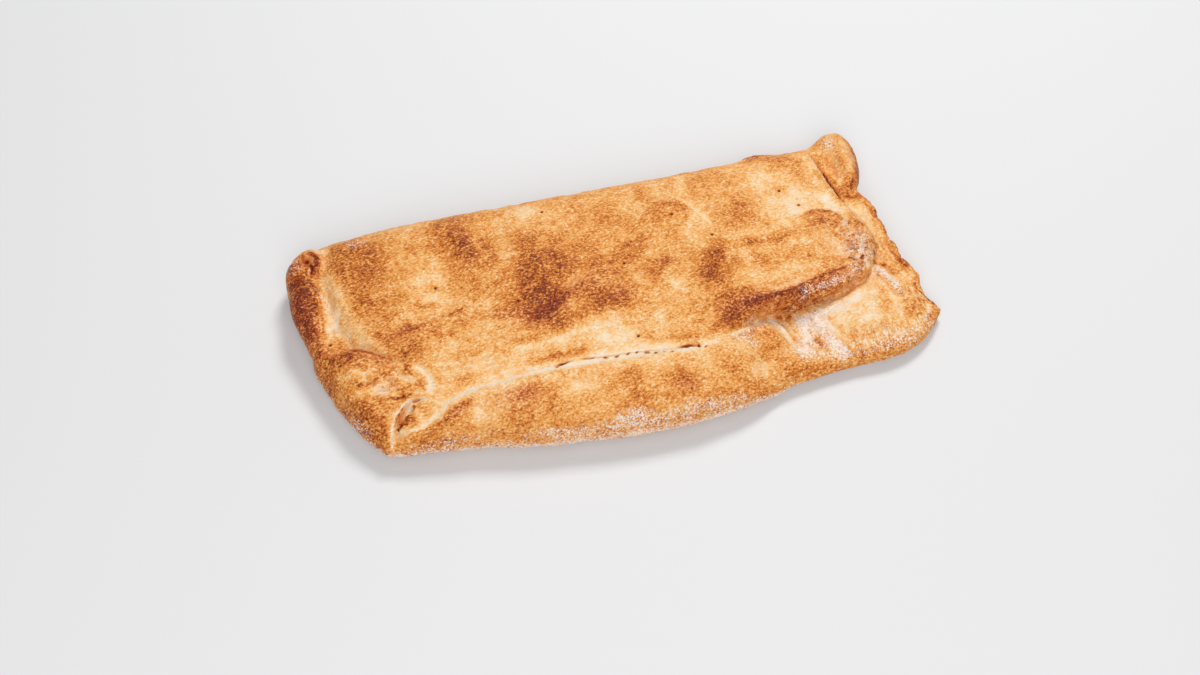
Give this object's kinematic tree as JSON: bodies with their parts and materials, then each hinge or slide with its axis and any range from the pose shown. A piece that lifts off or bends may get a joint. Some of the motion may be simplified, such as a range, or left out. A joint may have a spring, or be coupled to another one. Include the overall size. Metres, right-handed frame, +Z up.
{
  "type": "khachapuri",
  "caption": "Closed khachapuri: a long flat parcel of baked dough folded over its filling, with a front seam, a free lip and rolled ends.",
  "frame": {"origin": "centre of the whole object's box, at the flat floured underside", "axes": "+X along the length, towards the thin bare end; -Y towards the seam side; +Z up, out of the browned top"},
  "size_m": [0.297, 0.1466, 0.0281],
  "materials": {
    "baked_dough": "dry baked crust, golden with browned patches and flour"
  },
  "bodies": {
    "root": {"khachapuri": "baked_dough"}
  },
  "joints": []
}
